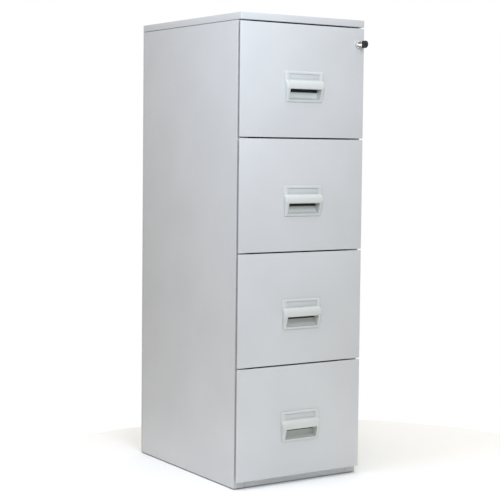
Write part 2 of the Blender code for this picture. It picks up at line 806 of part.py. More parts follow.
def main():
    for item in list(bpy.data.objects):
        bpy.data.objects.remove(item)
    paint = make_material("light_grey_paint", (0.63, 0.64, 0.65), 0.42)
    zinc = make_material("zinc_steel", (0.62, 0.63, 0.65), 0.35, 1.0)
    chrome = make_material("chrome", (0.80, 0.79, 0.76), 0.15, 1.0)
    ivory = make_material("ivory_plastic", (0.80, 0.81, 0.78), 0.40)
    paper = make_material("card", (0.83, 0.83, 0.82), 0.85)
    black = make_material("black_plastic", (0.02, 0.02, 0.03), 0.35)
    carcass = build_carcass(paint, zinc, black)
    drawers = [
        build_drawer(number, carcass, paint, zinc, ivory, paper)
        for number in range(1, DRAWER_COUNT + 1)
    ]
    build_lock(carcass, drawers[0], zinc, chrome, black)


main()
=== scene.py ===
"""Looks of the tall four-drawer filing cabinet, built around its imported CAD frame.

Metres. X runs across the cabinet, Y from the drawer fronts to the back, Z up, floor at zero.
"""

from math import cos, pi, radians, sin

import bmesh
import bpy
from mathutils import Matrix, Vector


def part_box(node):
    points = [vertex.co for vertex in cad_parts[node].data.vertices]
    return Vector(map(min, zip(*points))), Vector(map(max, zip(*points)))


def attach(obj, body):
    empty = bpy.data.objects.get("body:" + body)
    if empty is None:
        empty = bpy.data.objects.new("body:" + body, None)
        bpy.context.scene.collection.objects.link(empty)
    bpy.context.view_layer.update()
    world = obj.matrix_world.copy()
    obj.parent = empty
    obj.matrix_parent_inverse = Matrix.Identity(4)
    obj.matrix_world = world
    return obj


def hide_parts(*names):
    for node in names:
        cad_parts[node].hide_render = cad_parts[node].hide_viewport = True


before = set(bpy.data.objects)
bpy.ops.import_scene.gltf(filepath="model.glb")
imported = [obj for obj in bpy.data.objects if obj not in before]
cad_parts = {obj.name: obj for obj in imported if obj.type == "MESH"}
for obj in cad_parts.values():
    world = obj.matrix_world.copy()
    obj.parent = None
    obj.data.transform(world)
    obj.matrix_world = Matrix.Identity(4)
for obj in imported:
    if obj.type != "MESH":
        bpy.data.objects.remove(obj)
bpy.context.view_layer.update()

DRAWERS = (1, 2, 3, 4)
FEET = (1, 2, 3, 4)
SIDES = (("left", -1), ("right", 1))

# Points closer than MERGE become one. A turned piece has ROUND_SIDES sides.
MERGE = 1e-7
ROUND_SIDES = 64

# Sheet metal: thickness, gap between neighbours, inner radius of a fold, softening of an edge.
SHEET = 0.001
GAP = 0.0003
BEND = 0.0007
SHARP_BEND = 0.0005
EDGE = 0.00018

# Carcass. The column and return edges are measured from the cabinet's middle.
CAP_SEAM = 0.0009
CAP_ROUND = 0.0014
CAP_INNER_ROUND = 0.0006
CAP_RETURN = 0.012
COLUMN_EDGE = 0.173
COLUMN_LIP = 0.015
REAR_RETURN_EDGE = 0.190
SIDE_BEND = 0.0006
BACK_SEAM = 0.0005
LOCK_WINDOW_REACH = 0.0114
POST_REAR_FLANGE = 0.032
POST_FRONT_FLANGE = 0.012

# Slides.
SLIDE_SHEET = 0.0012
BALL_RADIUS = 0.0011
BALL_PITCH = 0.016
BALL_MARGIN = 0.020
CAGE_MARGIN = 0.012
CAGE_HALF_WIDTH = 0.0022
CAGE_HALF_THICKNESS = 0.0002

# Drawer fronts: the hemmed skin and the stiffening box behind it. A cutter runs past what it cuts by
# PAST, and SPAN is wider than the cabinet.
HEM = 0.005
SKIN_ROUND = 0.0013
SKIN_INNER_ROUND = 0.0006
STIFFENER_DEPTH = 0.030
STIFFENER_HALF_WIDTH = 0.168
STIFFENER_INSET = 0.012
STIFFENER_ROUND = 0.0020
STIFFENER_INNER_ROUND = 0.0012
STIFFENER_TRIM = 0.0001
CUP_CLEARANCE = 0.0005
BARREL_HOLE = 0.0095
PAST = 0.010
SPAN = 1.0

# Trays. The rail and the wall are measured from the cabinet's middle, the catch from the tray's
# front and from its top.
RAIL_EDGE = 0.165
RAIL_DEPTH = 0.010
WALL_EDGE = 0.159
END_WALL_SETBACK = 0.0004
END_WALL_LIFT = 0.0006
END_WALL_ROUND = 0.0002
WALL_OVERLAP = 0.0002
CATCH_NEAR = 0.0407
CATCH_FAR = 0.0467
CATCH_LOW = 0.085
CATCH_HIGH = 0.075
CATCH_ROUND = 0.0004

# Handle moulding, about its own centre on a drawer front. Depths are from the front's outside.
HANDLE_RIM = 0.0045
HANDLE_BULGE = 0.0150
BULGE_CENTRE = -0.002
HANDLE_CORNER = 0.0020
CHEEK_ROUND = 0.0018
CHEEK_LENGTH = 0.0060
CHEEK_SLOPE = 0.35
HANDLE_TAPER = 0.0050
# Painted shade: a thin near-black sheet on each cup's back wall, below the grip, stands in for the shadow
# there.
SHADE_STRIP_LOW = -0.0150
SHADE_STRIP_HEADROOM = 0.0016
SHADE_STRIP_THICKNESS = 0.0006
SHADE_STRIP_ROUND = 0.00015
GRIP_TOP = 0.01705
GRIP_BOTTOM = -0.0065
GRIP_ROUND = 0.0030
CUP_HALF_WIDTH = 0.058
CUP_LOW = -0.0385
CUP_HIGH = 0.0140
CUP_DEPTH = 0.0125
CUP_WALL = 0.0018
CUP_ROUND = 0.0010
CUP_OVERLAP = 0.0020
HOLLOW_FRONT = -0.030
FINGER_HALF_WIDTH = 0.053
LABEL_HALF_WIDTH = 0.0515
LABEL_CENTRE = 0.0278
LABEL_HALF_HEIGHT = 0.00775
CARD_ROUND = 0.00012
RIM_ROUND = 0.0005
RIM_ANGLE = 35
RIM_END = 0.004
RIM_DEPTH = 0.0030

# Lock and key. The pin and the grooves are placed from the lock's axis, the notches from the tip.
BARREL_BORE = 0.0063
BARREL_BODY = 0.0090
BARREL_ROUND = 0.0016
PLUG_RADIUS = 0.0060
PLUG_NECK = 0.0040
CAM_SETBACK = 0.0045
CAM_RADIUS = 0.0109
CAM_THICKNESS = 0.0020
CAM_CHAMFER = 0.0002
PIN_RADIUS = 0.0015
PIN_SINK = 0.0005
PIN_REACH = 0.009
PIN_ANGLE = 225
LOCK_PAST = 0.002
KEYWAY_HALF_WIDTH = 0.0014
KEYWAY_HALF_HEIGHT = 0.00425
TIP_CHAMFER = 0.002
NOTCH_REACHES = (0.004, 0.009, 0.014)
NOTCH_DEPTH = 0.0018
NOTCH_SLOPE = 0.001
NOTCH_END = 0.003
BLADE_SHOULDER = 0.018
GROOVE_DEPTH = 0.0004
GROOVE_HALF_HEIGHT = 0.0005
GROOVE_START = 0.002
GROOVE_LEFT = -0.0008
GROOVE_RIGHT = 0.0012
BOW_CORNER = 0.002
BOW_ROUND = 0.0014
RING_HOLE = 0.0025
RING_HOLE_SETBACK = 0.007
DISH_DEPTH = 0.0005
DISH_HALF_HEIGHT = 0.0062
DISH_NEAR = 0.0125
DISH_FAR = 0.0030

# Studio.
FLOOR_RADIUS = 1.0
FLOOR_CENTRE = (0.0, -0.35, 0.0)
FLOOR_COLOR = (0.935, 0.95, 0.96)
FLOOR_DARK = (0.932, 0.947, 0.957)
FLOOR_LIGHT = (0.938, 0.953, 0.963)
FILL_COLOR = (1.0, 0.94, 0.80)
FILL_STRENGTH = 0.40
WORLD_COLOR = (1.0, 1.0, 1.0, 1.0)

# Camera: its place, its turn from +Y in degrees, and its lens.
CAMERA_PLACE = (-2.1902, -3.4010, 0.9477)
CAMERA_YAW = 33.0346
CAMERA_PITCH = 3.3977
CAMERA_ROLL = 0.6149
CAMERA_LENS = 97.834
CAMERA_SHIFT = (-0.0174, -0.0409)

# Area lights: name, place, the point it faces, size, power, colour.
LIGHTS = (
    ("overhead", (0.0, 0.1, 6.5), (0.0, 0.1, 0.0), (5.0, 5.0), 292.0, (1.0, 0.96, 0.93)),
    ("front_top", (-0.50, -1.55, 1.60), (0.0, -0.25, 1.15), (0.9, 0.6), 18.0, (0.76, 0.85, 1.0)),
    ("left_top", (-1.50, -0.25, 1.60), (-0.2, 0.0, 1.15), (0.9, 0.6), 10.0, (0.75, 0.82, 1.0)),
)


# ---------------------------------------------------------------- mesh helpers

def finished(bm):
    """Turn a bmesh into a mesh with its faces pointing out."""
    bmesh.ops.recalc_face_normals(bm, faces=bm.faces)
    mesh = bpy.data.meshes.new("shape")
    bm.to_mesh(mesh)
    bm.free()
    return mesh


def box(low, high, radius=0.0, segments=3):
    """Box between two corners, with all its edges rounded when a radius is given."""
    bm = bmesh.new()
    bmesh.ops.create_cube(bm, size=1.0)
    low, high = Vector(low), Vector(high)
    bmesh.ops.scale(bm, vec=high - low, verts=bm.verts)
    bmesh.ops.translate(bm, vec=(low + high) / 2, verts=bm.verts)
    if radius:
        bmesh.ops.bevel(
            bm, geom=bm.edges[:], offset=radius, segments=segments, affect="EDGES", profile=0.5,
        )
    return finished(bm)


def placer(axis):
    """Function that puts a section's (u, v) point at w along an axis."""
    return {
        "X": lambda u, v, w: (w, u, v),
        "Y": lambda u, v, w: (u, w, v),
        "Z": lambda u, v, w: (u, v, w),
    }[axis]


def lofted(rings):
    """Closed skin over rings of points that all have the same number of points."""
    bm = bmesh.new()
    rows = [[bm.verts.new(point) for point in ring] for ring in rings]
    bm.faces.new(rows[0])
    bm.faces.new(rows[-1])
    for near, far in zip(rows, rows[1:]):
        for index in range(len(near)):
            bm.faces.new((near[index - 1], near[index], far[index], far[index - 1]))
    bmesh.ops.remove_doubles(bm, verts=bm.verts, dist=MERGE)
    return finished(bm)


def extruded(outline, axis, start, end):
    """Closed outline swept along an axis."""
    place = placer(axis)
    return lofted([[place(u, v, w) for u, v in outline] for w in (start, end)])


def sheet(path, axis, start, end, thickness=SHEET, bend=BEND, steps=5):
    """Sheet folded along a path with rounded bends, the metal on the path's left."""
    points = [Vector(point) for point in path]
    runs = [(b - a).normalized() for a, b in zip(points, points[1:])]
    normals = [Vector((-run.y, run.x)) for run in runs]
    near, far = [points[0]], [points[0] + normals[0] * thickness]
    for point, first, second in zip(points[1:-1], normals, normals[1:]):
        corner = (first + second) / (1 + first.dot(second))
        left = first.x * second.y - first.y * second.x > 0
        centre = point + corner * (bend + thickness) if left else point - corner * bend
        sign = -1 if left else 1
        near_radius = bend + thickness if left else bend
        far_radius = bend if left else bend + thickness
        for step in range(steps + 1):
            normal = first.slerp(second, step / steps)
            near.append(centre + normal * (sign * near_radius))
            far.append(centre + normal * (sign * far_radius))
    near.append(points[-1])
    far.append(points[-1] + normals[-1] * thickness)
    place = placer(axis)
    bm = bmesh.new()
    grid = [
        [bm.verts.new(place(p.x, p.y, w)) for p in line]
        for w in (start, end) for line in (near, far)
    ]
    low_near, low_far, high_near, high_far = grid
    last = len(near) - 1
    for a in range(last):
        b = a + 1
        bm.faces.new((low_near[a], low_near[b], high_near[b], high_near[a]))
        bm.faces.new((low_far[b], low_far[a], high_far[a], high_far[b]))
        bm.faces.new((low_near[b], low_near[a], low_far[a], low_far[b]))
        bm.faces.new((high_near[a], high_near[b], high_far[b], high_far[a]))
    for a in (0, last):
        bm.faces.new((low_near[a], high_near[a], high_far[a], low_far[a]))
    return finished(bm)


def flipped(path, side):
    """Path for one side: the mirrored path runs backwards, so that the metal stays on its left."""
    if side > 0:
        return path
    return [(-u, v) for u, v in reversed(path)]


def turned(profile, x, z, sides=ROUND_SIDES):
    """Profile of (radius, y) points turned about the line along Y through x, z."""
    bm = bmesh.new()
    ring = [bm.verts.new((x + radius, y, z)) for radius, y in profile]
    edges = [bm.edges.new(pair) for pair in zip(ring, ring[1:])]
    if min(profile[0][0], profile[-1][0]) > 0:
        edges.append(bm.edges.new((ring[-1], ring[0])))
    bmesh.ops.spin(
        bm, geom=ring + edges, cent=(x, 0, z), axis=(0, 1, 0),
        angle=2 * pi, steps=sides, use_merge=True,
    )
    bmesh.ops.remove_doubles(bm, verts=bm.verts, dist=MERGE)
    return finished(bm)


def rod(radius, x, z, start, end, sides=ROUND_SIDES):
    """Cylinder along Y."""
    return turned([(0, start), (radius, start), (radius, end), (0, end)], x, z, sides)


def combined(operation, base, tools):
    """Boolean of one mesh with several others."""
    worker = bpy.data.objects.new("worker", base)
    bpy.context.collection.objects.link(worker)
    helpers = []
    for tool in tools:
        helper = bpy.data.objects.new("helper", tool)
        bpy.context.collection.objects.link(helper)
        modifier = worker.modifiers.new("boolean", "BOOLEAN")
        modifier.operation = operation
        modifier.object = helper
        helpers.append(helper)
    depsgraph = bpy.context.evaluated_depsgraph_get()
    result = bpy.data.meshes.new_from_object(worker.evaluated_get(depsgraph))
    for item in [worker] + helpers:
        bpy.data.objects.remove(item)
    return result


def fused(base, *tools):
    """Union of several meshes."""
    return combined("UNION", base, tools)


def cut(base, *tools):
    """A mesh with several others taken away."""
    return combined("DIFFERENCE", base, tools)


def joined(*meshes):
    """Several closed shapes in one mesh, left apart."""
    bm = bmesh.new()
    for mesh in meshes:
        bm.from_mesh(mesh)
    mesh = bpy.data.meshes.new("shape")
    bm.to_mesh(mesh)
    bm.free()
    return mesh


def arc(centre, radius_u, radius_v, start, end, steps):
    """Points of an elliptical arc, angles in degrees."""
    points = []
    for step in range(steps + 1):
        angle = radians(start + (end - start) * step / steps)
        points.append((centre[0] + radius_u * cos(angle), centre[1] + radius_v * sin(angle)))
    return points


def end_turns(steps):
    """Side and angle of each ring that rounds off two opposite ends, from one end to the other."""
    angles = [pi / 2 * turn / steps for turn in range(steps + 1)]
    return [(-1, angle) for angle in reversed(angles)] + [(1, angle) for angle in angles]


def centre_of(node):
    """X and Z of a round node's middle."""
    low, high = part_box(node)
    return (low.x + high.x) / 2, (low.z + high.z) / 2


# ---------------------------------------------------------------- pieces

def show(name, mesh, body, material, nodes, soften=EDGE, smooth=30):
    """A finished piece on its body, in place of CAD nodes."""
    mesh.name = name
    mesh.materials.clear()
    mesh.materials.append(material)
    mesh.shade_smooth()
    mesh.set_sharp_from_angle(angle=radians(smooth))
    piece = bpy.data.objects.new(name, mesh)
    bpy.context.collection.objects.link(piece)
    if soften:
        bevel = piece.modifiers.new("edges", "BEVEL")
        bevel.width = soften
        bevel.segments = 2
        bevel.limit_method = "ANGLE"
        bevel.angle_limit = radians(50)
        bevel.harden_normals = True
    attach(piece, body)
    if nodes:
        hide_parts(*nodes)
    return piece


def dress(node, material, width=0.0003):
    """A kept CAD node: its material and softened edges."""
    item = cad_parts[node]
    item.data.materials.clear()
    item.data.materials.append(material)
    weld = item.modifiers.new("weld", "WELD")
    weld.merge_threshold = 1e-6
    bevel = item.modifiers.new("edges", "BEVEL")
    bevel.width = width
    bevel.segments = 2
    bevel.limit_method = "ANGLE"
    bevel.angle_limit = radians(40)


# ---------------------------------------------------------------- materials

def shade(color, factor, lift=0.0):
    """Colour made lighter or darker."""
    return tuple(min(1.0, channel * factor + lift) for channel in color)


def new_material(name, color, roughness, metallic=0.0):
    """Material with a plain Principled shader."""
    material = bpy.data.materials.new(name)
    material.use_nodes = True
    shader = material.node_tree.nodes["Principled BSDF"]
    shader.inputs["Base Color"].default_value = (*color, 1.0)
    shader.inputs["Roughness"].default_value = roughness
    shader.inputs["Metallic"].default_value = metallic
    return material


class Surface:
    """Node builder for one material, working in the object's own coordinates."""

    def __init__(self, name, color, roughness, metallic=0.0):
        self.material = new_material(name, color, roughness, metallic)
        self.tree = self.material.node_tree
        self.shader = self.tree.nodes["Principled BSDF"]
        self.place = self.node("ShaderNodeTexCoord").outputs["Object"]

    def node(self, kind, **values):
        """A new node with its settings."""
        made = self.tree.nodes.new(kind)
        for key, value in values.items():
            setattr(made, key, value)
        return made

    def link(self, source, target):
        """A link from an output to an input."""
        self.tree.links.new(source, target)

    def stretched(self, scale):
        """The object's coordinates, scaled apart along each axis."""
        mapping = self.node("ShaderNodeMapping")
        mapping.inputs["Scale"].default_value = scale
        self.link(self.place, mapping.inputs["Vector"])
        return mapping.outputs["Vector"]

    def noise(self, scale, detail=2.0, place=None, roughness=0.5):
        """Fractal noise from 0 to 1."""
        made = self.node("ShaderNodeTexNoise")
        made.inputs["Scale"].default_value = scale
        made.inputs["Detail"].default_value = detail
        made.inputs["Roughness"].default_value = roughness
        self.link(place or self.place, made.inputs["Vector"])
        return made.outputs["Fac"]

    def voronoi(self, scale, output):
        """One output of a cell texture."""
        made = self.node("ShaderNodeTexVoronoi")
        made.inputs["Scale"].default_value = scale
        self.link(self.place, made.inputs["Vector"])
        return made.outputs[output]

    def ranged(self, value, from_low, from_high, to_low=0.0, to_high=1.0):
        """Value carried from one range to another."""
        made = self.node("ShaderNodeMapRange")
        for key, number in zip(("From Min", "From Max", "To Min", "To Max"),
                               (from_low, from_high, to_low, to_high)):
            made.inputs[key].default_value = number
        self.link(value, made.inputs["Value"])
        return made.outputs["Result"]

    def times(self, value, factor):
        """Product of a value and a number, or of two values."""
        made = self.node("ShaderNodeMath", operation="MULTIPLY")
        self.link(value, made.inputs[0])
        if isinstance(factor, float):
            made.inputs[1].default_value = factor
        else:
            self.link(factor, made.inputs[1])
        return made.outputs["Value"]

    def blend(self, factor, first, second):
        """Mix of two colours, each a colour or a socket."""
        made = self.node("ShaderNodeMix", data_type="RGBA")
        self.link(factor, made.inputs["Factor"])
        for key, value in ((6, first), (7, second)):
            if isinstance(value, tuple):
                made.inputs[key].default_value = (*value, 1.0)
            else:
                self.link(value, made.inputs[key])
        return made.outputs[2]

    def edges(self, radius, low, high):
        """1 along edges, 0 on the flats, from how far the surface turns within a radius."""
        bevel = self.node("ShaderNodeBevel", samples=4)
        bevel.inputs["Radius"].default_value = radius
        geometry = self.node("ShaderNodeNewGeometry")
        dot = self.node("ShaderNodeVectorMath", operation="DOT_PRODUCT")
        self.link(bevel.outputs["Normal"], dot.inputs[0])
        self.link(geometry.outputs["Normal"], dot.inputs[1])
        return self.ranged(dot.outputs["Value"], high, low)

    def color(self, socket):
        """The surface's colour."""
        self.link(socket, self.shader.inputs["Base Color"])

    def rough(self, socket):
        """The surface's roughness."""
        self.link(socket, self.shader.inputs["Roughness"])

    def bump(self, height, distance, strength, under=None):
        """Normal of a relief, laid over another one when there is one under it."""
        made = self.node("ShaderNodeBump")
        made.inputs["Strength"].default_value = strength
        made.inputs["Distance"].default_value = distance
        self.link(height, made.inputs["Height"])
        if under:
            self.link(under, made.inputs["Normal"])
        return made.outputs["Normal"]

    def finish(self, normal=None):
        """The finished material."""
        if normal:
            self.link(normal, self.shader.inputs["Normal"])
        return self.material


def powder_coat(name, color, roughness=0.42):
    """Powder-coated steel: fine orange peel, slight clouding, edges where the coat runs thin."""
    surface = Surface(name, color, roughness)
    cloud = surface.ranged(surface.noise(5.0, 4.0), 0.35, 0.65)
    grain = surface.ranged(surface.noise(1400.0, 2.0), 0.3, 0.7)
    tone = surface.blend(cloud, shade(color, 0.975), shade(color, 1.025))
    tone = surface.blend(surface.times(grain, 0.10), tone, shade(color, 0.90))
    edge = surface.edges(0.0012, 0.90, 0.995)
    patch = surface.ranged(surface.noise(60.0, 4.0), 0.35, 0.70, 0.2, 1.0)
    worn = surface.times(surface.times(edge, patch), 0.5)
    surface.color(surface.blend(worn, tone, shade(color, 0.86)))
    gloss = surface.noise(22.0, 3.0)
    surface.rough(surface.ranged(gloss, 0.3, 0.7, roughness - 0.05, roughness + 0.06))
    peel = surface.bump(surface.noise(520.0, 1.5), 0.00012, 0.35)
    wave = surface.bump(surface.noise(4.0, 1.0), 0.0030, 0.25, under=peel)
    return surface.finish(wave)


def zinc_plate(name, color):
    """Zinc-plated steel: faint spangle, fine rolling lines."""
    surface = Surface(name, color, 0.36, 1.0)
    spangle = surface.ranged(surface.voronoi(140.0, "Distance"), 0.0, 1.0)
    tone = surface.blend(spangle, shade(color, 0.86), shade(color, 1.10))
    edge = surface.edges(0.0008, 0.85, 0.99)
    surface.color(surface.blend(edge, tone, shade(color, 1.25)))
    lines = surface.noise(90.0, 3.0, surface.stretched((14.0, 0.6, 14.0)))
    surface.rough(surface.ranged(lines, 0.3, 0.7, 0.28, 0.46))
    return surface.finish(surface.bump(lines, 0.00006, 0.35))


def moulded(name, color, roughness, grain=900.0, depth=0.00008):
    """Moulded plastic: spark-eroded grain, slight flow marks, rubbed edges."""
    surface = Surface(name, color, roughness)
    marks = surface.noise(30.0, 3.0, surface.stretched((0.4, 1.0, 1.4)))
    flow = surface.ranged(marks, 0.35, 0.65)
    tone = surface.blend(flow, shade(color, 0.975), shade(color, 1.02))
    rubbed = surface.times(surface.edges(0.0010, 0.85, 0.99), 0.35)
    surface.color(surface.blend(rubbed, tone, shade(color, 1.06, 0.01)))
    gloss = surface.noise(45.0, 2.0)
    surface.rough(surface.ranged(gloss, 0.3, 0.7, roughness - 0.05, roughness + 0.07))
    return surface.finish(surface.bump(surface.noise(grain, 2.0), depth, 0.4))


def paper(name, color):
    """Blank card: fibres and a slightly uneven white."""
    surface = Surface(name, color, 0.85)
    fibre = surface.noise(700.0, 5.0, surface.stretched((0.5, 1.0, 1.6)), 0.7)
    surface.color(surface.blend(fibre, shade(color, 0.95), shade(color, 1.04)))
    surface.rough(surface.ranged(fibre, 0.3, 0.7, 0.78, 0.92))
    return surface.finish(surface.bump(fibre, 0.00005, 0.5))


def polished(name, color, roughness, scratches=0.25):
    """Bright plated metal with hairline scratches and handling marks."""
    surface = Surface(name, color, roughness, 1.0)
    smudge = surface.ranged(surface.noise(160.0, 4.0), 0.35, 0.65)
    surface.color(surface.blend(smudge, shade(color, 0.92), color))
    lines = surface.noise(260.0, 4.0, surface.stretched((1.0, 8.0, 1.0)))
    surface.rough(surface.ranged(lines, 0.35, 0.70, roughness, roughness + 0.12))
    return surface.finish(surface.bump(lines, 0.00004, scratches))


PAINT = powder_coat("light_grey_paint", (0.63, 0.64, 0.65))
TRAY_PAINT = powder_coat("tray_paint", (0.60, 0.61, 0.62), 0.48)
ZINC = zinc_plate("zinc_plated_steel", (0.62, 0.63, 0.65))
IVORY = moulded("ivory_handle_plastic", (0.62, 0.64, 0.62), 0.60)
CARD = paper("blank_card", (0.60, 0.615, 0.635))
CHROME = polished("chrome_lock", (0.80, 0.78, 0.74), 0.10)
NICKEL = polished("nickel_key", (0.70, 0.69, 0.66), 0.24, 0.5)
# The same near-black also colours the painted shade strip in the handle cups.
BLACK = moulded("black_key_plastic", (0.006, 0.006, 0.012), 0.45, 1200.0)
FOOT = moulded("black_foot_plastic", (0.030, 0.030, 0.032), 0.55, 500.0, 0.00015)


# ---------------------------------------------------------------- carcass

def build_cap():
    """Shallow pan turned over: rounded folds, returned lower edges."""
    low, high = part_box("top_cap")
    shell = box(low, high, CAP_ROUND, 4)
    hollow = box(
        (low.x + SHEET, low.y + SHEET, low.z + SHEET),
        (high.x - SHEET, high.y - SHEET, high.z - SHEET), CAP_INNER_ROUND, 2,
    )
    opening = box(
        (low.x + CAP_RETURN, low.y + CAP_RETURN, low.z - SHEET),
        (high.x - CAP_RETURN, high.y - CAP_RETURN, low.z + 2 * SHEET),
    )
    mesh = cut(cut(shell, opening), hollow)
    show("cap_sheet", mesh, "carcass", PAINT, ["top_cap"], soften=0)


def build_side(name, side):
    """One sheet: column lip, column face, side skin, joggle under the back panel, rear return."""
    low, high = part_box(f"side_panel_{name}")
    back_low, back_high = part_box("back_panel")
    half = high.x if side > 0 else -low.x
    seam_y = back_low.y - BACK_SEAM
    under = half - SHEET - GAP
    rear = back_high.y - SHEET - GAP
    path = [
        (COLUMN_EDGE, low.y + COLUMN_LIP), (COLUMN_EDGE, low.y), (half, low.y),
        (half, seam_y), (under, seam_y), (under, rear), (REAR_RETURN_EDGE, rear),
    ]
    mesh = sheet(flipped(path, side), "Z", low.z, high.z - CAP_SEAM, bend=SIDE_BEND)
    if side > 0:
        x, z = centre_of("lock_barrel")
        reach = LOCK_WINDOW_REACH
        window = box(
            (x - reach, low.y - SHEET, z - reach), (x + reach, low.y + 2 * SHEET, z + reach),
        )
        mesh = cut(mesh, window)
    show(f"side_{name}_sheet", mesh, "carcass", PAINT, [f"side_panel_{name}"])


def build_back():
    """Back panel: a pan whose flanges reach forward round the sides."""
    low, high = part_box("back_panel")
    path = [(high.x, low.y), (high.x, high.y), (low.x, high.y), (low.x, low.y)]
    mesh = sheet(path, "Z", low.z, high.z)
    show("back_sheet", mesh, "carcass", PAINT, ["back_panel"])


def build_plinth():
    """Folded rail under the bottom drawer, open to the back."""
    low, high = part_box("plinth_rail")
    path = [(high.y, high.z), (low.y, high.z), (low.y, low.z), (high.y, low.z)]
    mesh = sheet(path, "X", low.x, high.x)
    show("plinth_sheet", mesh, "carcass", PAINT, ["plinth_rail"])


def build_posts():
    """Rear channels that carry the slides."""
    for name, side in SIDES:
        low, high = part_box(f"rear_post_{name}")
        near = low.x if side > 0 else -high.x
        path = [
            (near + POST_REAR_FLANGE, high.y), (near, high.y),
            (near, low.y), (near + POST_FRONT_FLANGE, low.y),
        ]
        mesh = sheet(flipped(path, side), "Z", low.z, high.z)
        show(f"post_{name}_sheet", mesh, "carcass", ZINC, [f"rear_post_{name}"])


# ---------------------------------------------------------------- slides

def ball_row(x, z, start, end):
    """A row of bearing balls along Y."""
    bm = bmesh.new()
    count = int((end - start) / BALL_PITCH)
    for index in range(count + 1):
        y = start + (end - start) * index / count
        bmesh.ops.create_icosphere(
            bm, subdivisions=2, radius=BALL_RADIUS, matrix=Matrix.Translation((x, y, z)),
        )
    return finished(bm)


def slide_channel(node, side, facing, bottom, top):
    """C-shaped member whose web is on its outer face, or on its inner one when facing is -1."""
    low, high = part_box(node)
    depth = high.x - low.x
    if facing > 0:
        web = high.x if side > 0 else -low.x
        lip, first, last = web - depth, bottom, top
    else:
        web = low.x if side > 0 else -high.x
        lip, first, last = web + depth, top, bottom
    path = [(lip, first), (web, first), (web, last), (lip, last)]
    return sheet(flipped(path, side), "Y", low.y, high.y, SLIDE_SHEET, SHARP_BEND)


def build_bearings(number, name, side, middle, flange):
    """Two rows of balls above the intermediate member's middle and two below it, in their cages."""
    low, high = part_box(f"slide_{number}_middle_{name}")
    web = high.x if side > 0 else -low.x
    lip = web - (high.x - low.x)
    x = side * (lip + web) / 2
    rows = []
    for up in (-1, 1):
        outer_z = middle + up * (flange + BALL_RADIUS)
        inner_z = middle + up * (flange - SLIDE_SHEET - BALL_RADIUS)
        for z in (outer_z, inner_z):
            rows.append(ball_row(x, z, low.y + BALL_MARGIN, high.y - BALL_MARGIN))
            rows.append(box(
                (x - CAGE_HALF_WIDTH, low.y + CAGE_MARGIN, z - CAGE_HALF_THICKNESS),
                (x + CAGE_HALF_WIDTH, high.y - CAGE_MARGIN, z + CAGE_HALF_THICKNESS),
            ))
    show(f"bearings_{number}_{name}", joined(*rows), f"middle_{number}", ZINC,
         [], soften=0, smooth=60)


def build_slides(number):
    """Cabinet, drawer and intermediate member on each side, with bearings between them."""
    for name, side in SIDES:
        outer = f"slide_{number}_outer_{name}"
        low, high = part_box(outer)
        middle = (low.z + high.z) / 2
        mesh = slide_channel(outer, side, 1, low.z, high.z)
        show(f"slide_{number}_cabinet_{name}", mesh, "carcass", ZINC, [outer])

        inner = f"slide_{number}_inner_{name}"
        low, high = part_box(inner)
        mesh = slide_channel(inner, side, -1, low.z, high.z)
        show(f"slide_{number}_drawer_{name}", mesh, f"drawer_{number}", ZINC, [inner])

        rail = f"slide_{number}_middle_{name}"
        low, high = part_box(rail)
        flange = high.z - middle - 2 * BALL_RADIUS
        mesh = slide_channel(rail, side, 1, middle - flange, middle + flange)
        show(f"slide_{number}_rail_{name}", mesh, f"middle_{number}", ZINC, [rail])
        build_bearings(number, name, side, middle, flange)


# ---------------------------------------------------------------- drawers

def front_skin(low, high, deep):
    """Hemmed outer skin with rounded folds."""
    outer = box(low, (high.x, deep, high.z), SKIN_ROUND, 4)
    inner = box(
        (low.x + SHEET, low.y + SHEET, low.z + SHEET),
        (high.x - SHEET, deep + PAST, high.z - SHEET), SKIN_INNER_ROUND, 2,
    )
    behind = box(
        (low.x - SHEET, low.y + HEM, low.z - SHEET),
        (high.x + SHEET, deep + 2 * PAST, high.z + SHEET),
    )
    return cut(outer, behind, inner)


def front_stiffener(low, high, deep):
    """Frame of sheet behind the skin, open to the front and the back."""
    half = STIFFENER_HALF_WIDTH
    near = low.y + SHEET / 2
    bottom, top = low.z + STIFFENER_INSET, high.z - STIFFENER_INSET
    block = box((-half, near, bottom), (half, deep, top), STIFFENER_ROUND, 4)
    rear = box((-SPAN, high.y, 0), (SPAN, deep + PAST, 2 * SPAN))
    fore = box((-SPAN, low.y - PAST, 0), (SPAN, near + STIFFENER_TRIM, 2 * SPAN))
    half -= SHEET
    inside = box(
        (-half, low.y - PAST / 2, bottom + SHEET),
        (half, deep + PAST, top - SHEET), STIFFENER_INNER_ROUND, 3,
    )
    return cut(block, rear, fore, inside)


def build_front(number):
    """Skin and stiffener in one, with a hole for the handle's cup and one in the top drawer for the lock."""
    low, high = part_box(f"drawer_{number}_front")
    deep = low.y + STIFFENER_DEPTH
    mesh = fused(front_skin(low, high, deep), front_stiffener(low, high, deep))
    middle = handle_centre(number)
    half = CUP_HALF_WIDTH + CUP_CLEARANCE
    cup_hole = box(
        (-half, low.y - SHEET, middle + CUP_LOW - CUP_CLEARANCE),
        (half, low.y + 2 * SHEET, middle + CUP_HIGH + CUP_CLEARANCE),
    )
    mesh = cut(mesh, cup_hole)
    if number == 1:
        x, z = centre_of("lock_barrel")
        mesh = cut(mesh, rod(BARREL_HOLE, x, z, low.y - SHEET, low.y + 2 * SHEET))
    show(f"front_{number}_sheet", mesh, f"drawer_{number}", PAINT,
         [f"drawer_{number}_front"], soften=0)


